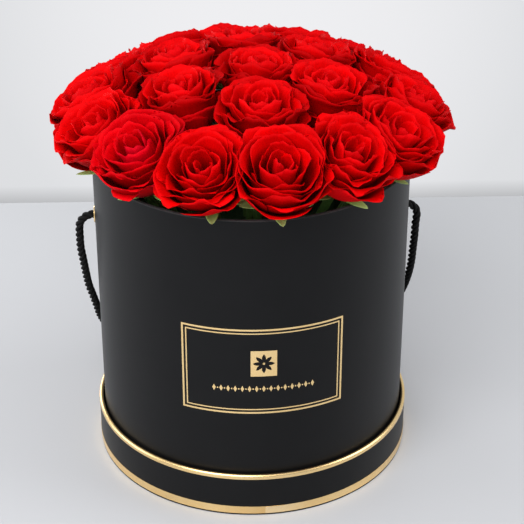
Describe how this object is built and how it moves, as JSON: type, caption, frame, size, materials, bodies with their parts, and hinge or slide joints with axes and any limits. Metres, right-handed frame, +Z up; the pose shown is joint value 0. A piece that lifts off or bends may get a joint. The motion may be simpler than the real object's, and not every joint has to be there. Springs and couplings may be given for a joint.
{
  "type": "flower box",
  "caption": "Round black paper-covered hat box standing in its upturned lid, gold foil edging and label, black rope handle, filled with a dome of red roses in floral foam.",
  "frame": {"origin": "centre of the lid's underside, on the surface that the box stands on", "axes": "+Z up, the label faces -Y, the eyelets lie on the X axis, the rope hangs behind at +Y"},
  "size_m": [0.245, 0.2456, 0.273],
  "materials": {
    "grey_board": "uncoated grey board",
    "black_paper": "black covering paper with a satin sheen",
    "gold_foil": "bright gold foil, slightly creased",
    "eyelet_brass": "polished brass-plated eyelet",
    "liner_plastic": "thin dark waterproof liner",
    "floral_foam": "wet green floral foam",
    "stem_green": "cut green stem",
    "sepal_green": "green hip and sepals",
    "rose_petal": "velvety red petals",
    "black_rope": "twisted black cord"
  },
  "bodies": {
    "lid": {"lid_panel_board": "grey_board", "lid_band_board": "grey_board", "lid_panel_paper": "black_paper", "lid_band_paper": "black_paper", "lid_edge_foil": "gold_foil", "lid_foot_foil": "gold_foil"},
    "box": {"box_wall_board": "grey_board", "box_base_board": "grey_board", "box_paper": "black_paper", "label_frame_outer": "gold_foil", "label_frame_inner": "gold_foil", "label_emblem": "gold_foil", "label_ornament": "gold_foil", "eyelet_left": "eyelet_brass", "eyelet_right": "eyelet_brass", "washer_left": "eyelet_brass", "washer_right": "eyelet_brass", "liner": "liner_plastic", "floral_foam": "floral_foam", "stem_centre": "stem_green", "stems_middle": "stem_green", "stems_outer": "stem_green", "calyx_centre": "sepal_green", "calyces_middle": "sepal_green", "calyces_outer": "sepal_green", "rose_centre": "rose_petal", "rose_middle_1": "rose_petal", "rose_middle_2": "rose_petal", "rose_middle_3": "rose_petal", "rose_middle_4": "rose_petal", "rose_middle_5": "rose_petal", "rose_middle_6": "rose_petal", "rose_outer_1": "rose_petal", "rose_outer_2": "rose_petal", "rose_outer_3": "rose_petal", "rose_outer_4": "rose_petal", "rose_outer_5": "rose_petal", "rose_outer_6": "rose_petal", "rose_outer_7": "rose_petal", "rose_outer_8": "rose_petal", "rose_outer_9": "rose_petal", "rose_outer_10": "rose_petal", "rose_outer_11": "rose_petal", "rose_outer_12": "rose_petal", "rose_outer_13": "rose_petal", "rose_outer_14": "rose_petal"},
    "handle": {"rope_handle": "black_rope", "knot_left": "black_rope", "knot_right": "black_rope"}
  },
  "joints": [
    {"name": "box_lift", "type": "slide", "parent": "lid", "child": "box", "axis": [0, 0, 1], "range_m": [0, 0.05]},
    {"name": "handle_swing", "type": "hinge", "parent": "box", "child": "handle", "pos_m": [0, 0, 0.165], "axis": [1, 0, 0], "range_deg": [0, 90]}
  ]
}
